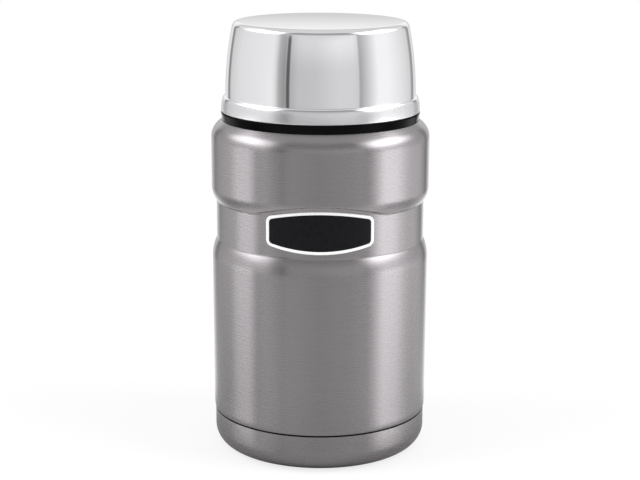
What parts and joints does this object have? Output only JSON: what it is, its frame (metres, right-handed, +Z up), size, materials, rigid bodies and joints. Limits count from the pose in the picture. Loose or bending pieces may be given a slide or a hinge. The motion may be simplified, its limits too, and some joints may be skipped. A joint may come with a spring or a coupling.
{
  "type": "insulated food jar",
  "caption": "Vacuum insulated steel food jar with a screw-in stopper, a vent button and a polished bowl that screws on as the lid.",
  "frame": {"origin": "centre of the foot, on the surface that the jar stands on", "axes": "+Z up along the jar's axis; the badge faces -Y; +X is to the right as seen from the badge side"},
  "size_m": [0.1, 0.1, 0.1987],
  "materials": {
    "brushed_steel": "brushed round the axis",
    "polished_steel": "mirror polished",
    "satin_steel": "satin, turned",
    "copper_foil": "bright foil",
    "sealing_glass": "glossy",
    "getter_metal": "sintered",
    "black_plastic": "glossy",
    "dark_plastic": "fine satin",
    "grey_plastic": "satin",
    "badge_white": "satin enamel",
    "badge_black": "satin enamel",
    "silicone": "matte, milky",
    "black_silicone": "matte",
    "foam": "matte closed-cell foam"
  },
  "bodies": {
    "jar": {"outer_shell": "brushed_steel", "inner_vessel": "satin_steel", "shell_bottom": "satin_steel", "seal_bead": "sealing_glass", "getter": "getter_metal", "getter_clip": "satin_steel", "radiation_foil": "copper_foil", "base_cap": "brushed_steel", "bond_ring": "black_silicone", "neck_collar": "black_plastic", "collar_seal": "black_silicone", "badge_border": "badge_white", "badge_field": "badge_black"},
    "gasket": {"stopper_gasket": "silicone"},
    "stopper": {"stopper_plug": "dark_plastic", "stopper_cap": "dark_plastic", "stopper_foam": "foam"},
    "vent": {"vent_button": "grey_plastic", "vent_seal": "silicone"},
    "seal": {"bowl_seal": "black_silicone"},
    "bowl": {"bowl_shell": "polished_steel", "bowl_liner": "satin_steel", "bowl_thread_ring": "black_plastic"}
  },
  "joints": [
    {"name": "stopper_rise", "type": "slide", "parent": "jar", "child": "gasket", "axis": [0, 0, 1], "range_m": [0, 0.036]},
    {"name": "stopper_turn", "type": "hinge", "parent": "gasket", "child": "stopper", "pos_m": [0, 0, 0.16], "axis": [0, 0, 1], "range_deg": [0, 1080]},
    {"name": "vent_lift", "type": "slide", "parent": "stopper", "child": "vent", "axis": [0, 0, 1], "range_m": [0, 0.002]},
    {"name": "bowl_rise", "type": "slide", "parent": "stopper", "child": "seal", "axis": [0, 0, 1], "range_m": [0, 0.036]},
    {"name": "bowl_turn", "type": "hinge", "parent": "seal", "child": "bowl", "pos_m": [0, 0, 0.16], "axis": [0, 0, 1], "range_deg": [0, 1080]}
  ],
  "couplings": [
    {"joint": "stopper_rise", "follows": "stopper_turn", "m_per_rad": 0.0019099},
    {"joint": "bowl_rise", "follows": "bowl_turn", "m_per_rad": 0.0019099}
  ]
}
